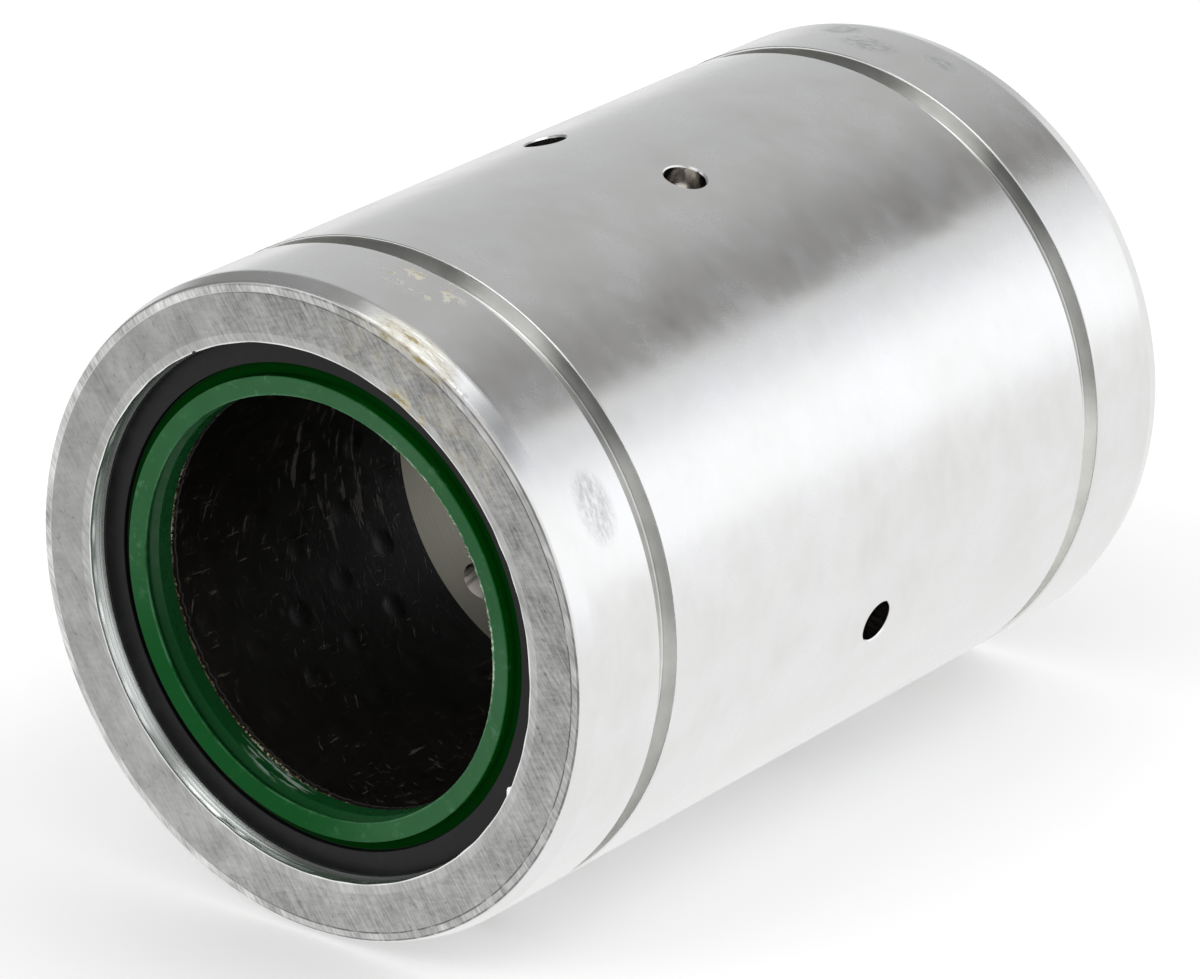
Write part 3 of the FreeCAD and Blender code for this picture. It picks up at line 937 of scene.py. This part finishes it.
seal_carrier(-1, "front_carrier_ring", "front_seal_carrier")
seal_carrier(+1, "rear_carrier_ring", "rear_seal_carrier")

# %% [markdown]
# ## The seal lips
# The lip is green rubber moulded on to the carrier. It has a scraping edge at the front that wipes
# the shaft, a groove behind it, and a second lip beside the bush. Rubber never comes out of the mould
# quite round: the edge wavers, and a thin flash is left along the scraping edge where the mould
# halves met. Both are changes of radius that depend on the angle.

# %% Seal rubber and the two lips
def seal_rubber():
    """Green rubber with a soft sheen, wet with grease behind the front edge, and with painted shade and
    highlights.
    """
    f = Finish("seal_elastomer")
    cloud = noise(f.place, 0.5, 3.0, 0.6)
    skin = noise(f.place, 5.0, 3.0, 0.55)
    smear = noise(f.around(1.2, 1.2), 0.9, 4.0, 0.7)
    # painted shade: the lip is darker, with less sheen and fewer scuffs, on the lower left and more weakly
    # on the upper right
    painted_lip_shade = f.patch(-125, 1.2, 60, 6.0) + f.patch(28, 1.2, 30, 6.0) * 0.45
    value = blend(cloud, (0.006, 0.080, 0.018), (0.016, 0.120, 0.034))
    value = blend(painted_lip_shade * 0.7, value, (0.002, 0.066, 0.010))
    # painted shade: darker behind the front edge, deeper in the lip
    behind = f.depth.rise(1.30, 1.75)
    value = blend(behind * 0.5, value, (0.006, 0.048, 0.014))
    # painted shade: the lip's outer wall in the moat is near-black green, darker still from the top round
    # the left to the bottom
    outer_wall = f.radius.rise(16.26, 16.33) * f.depth.rise(1.08, 1.2)
    shaded = f.angle.rise(70, 105) + f.angle.rise(-40, -65)
    value = blend(outer_wall, value, blend(shaded, (0.001, 0.070, 0.003), (0.001, 0.022, 0.003)))
    # painted highlight: a pale line along the scraping edge
    edge = f.radius.rise(15.12, 15.03) * f.depth.between(1.15, 1.36, 0.04)
    value = blend(edge * cloud.rise(0.3, 0.6) * 0.55, value, (0.08, 0.22, 0.11))
    # painted highlight: a pale beaded line on the flash of the scraping edge, on the right of the front lip
    bead = noise(f.place, 1.5, 5.0, 0.75).rise(0.44, 0.60)
    flash = f.patch(25, 1.2, 48, 0.6) * f.front() * f.radius.rise(15.17, 15.06) * (bead * 0.85 + 0.15)
    value = blend(flash * 0.9, value, (0.50, 0.60, 0.46))
    scuff = smear.rise(0.56, 0.70) * (1.0 - behind) * (1.0 - painted_lip_shade * 0.8)
    value = blend(scuff * 0.35, value, (0.09, 0.22, 0.12))

    # grease on the second lip, drawn into curved strokes by a shaft; the pale strokes on it are painted
    # glints
    ridge = noise(vector(f.turn * 5.0 + f.y * 0.5, f.y * 2.6, f.radius), 1.0, 3.0, 0.6)
    grease = f.patch(-112, 3.4, 15, 1.1) * f.front()
    glint = grease * ridge.rise(0.50, 0.58)
    value = blend(glint * 0.8, value, (0.38, 0.46, 0.40))
    wet = behind * smear.rise(0.45, 0.6)
    rough = blend(wet, skin * 0.12 + 0.36, 0.18)
    rough = blend(grease, rough, 0.08)
    sheen = (1.0 - painted_lip_shade * 0.8) * (1.0 - outer_wall) * 0.24
    f.set(base_color=value, roughness=rough, specular=sheen)
    f.relief(skin * 0.004 + smear * 0.014 + cloud * 0.02 + grease * (ridge * 0.12))
    return f.material


SEAL_RUBBER = seal_rubber()
LIP_FACE, LIP_HEAD, SHAFT_RADIUS = 1.03, 16.35, 15.0


def seal_lip(end, name, node):
    """Lip ring: head, sloping face, scraping edge, relief groove, second lip and root."""
    corners = [(LIP_HEAD, LIP_FACE, 0.10), (SHAFT_RADIUS, 1.28, 0.04), (SHAFT_RADIUS, 1.43, 0.03),
               (SHAFT_RADIUS + 0.45, 2.03, 0.25), (SHAFT_RADIUS, 2.63, 0.15), (SHAFT_RADIUS, 3.85, 0.03),
               (SHAFT_RADIUS + 0.15, 4.0, 0.02), (LIP_ROOT, 4.0, 0.02), (LIP_ROOT, MOAT_FLOOR, 0.02),
               (LIP_HEAD, MOAT_FLOOR, 0.02)]
    outline = rounded(at_end(corners, end), 0.12, arc_steps=5, guard=0.03)

    def shift(radius, station, angle):
        """Wavering edge, with a ragged thin flash that is strongest at about 32 degrees."""
        depth = END - np.abs(station)
        edge = (radius < SHAFT_RADIUS + 0.05) & (depth < 1.5)
        front_edge = (radius < SHAFT_RADIUS + 0.08) & (depth < 1.33)
        ragged = np.abs(ripple(angle, range(20, 330, 7), 7)) * (0.15 + swell(angle, 32, 40))
        waver = 0.03 * ripple(angle, range(3, 12), 8)
        return (waver - 0.05 * ragged) * edge, 0.04 * end * ragged * front_edge

    piece = ring(name, outline, even_angles(720), SEAL_RUBBER, shift)
    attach(piece, "root")
    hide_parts(node)
    return piece


seal_lip(-1, "front_lip_ring", "front_seal_lip")
seal_lip(+1, "rear_lip_ring", "rear_seal_lip")

# %% [markdown]
# ## Finish
# The picture keeps the plain Standard view, so a colour comes out as it was written. The box of the
# CAD model and the box of what is shown are written side by side.

# %% Set the view and print the sizes side by side
scene.view_settings.view_transform = "Standard"
shown_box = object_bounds()
sizes = {"cad": [list(corner) for corner in cad_box], "visual": [list(corner) for corner in shown_box]}
for label, (low, high) in sizes.items():
    print(label, [round((b - a) / MM, 2) for a, b in zip(low, high)], "mm")
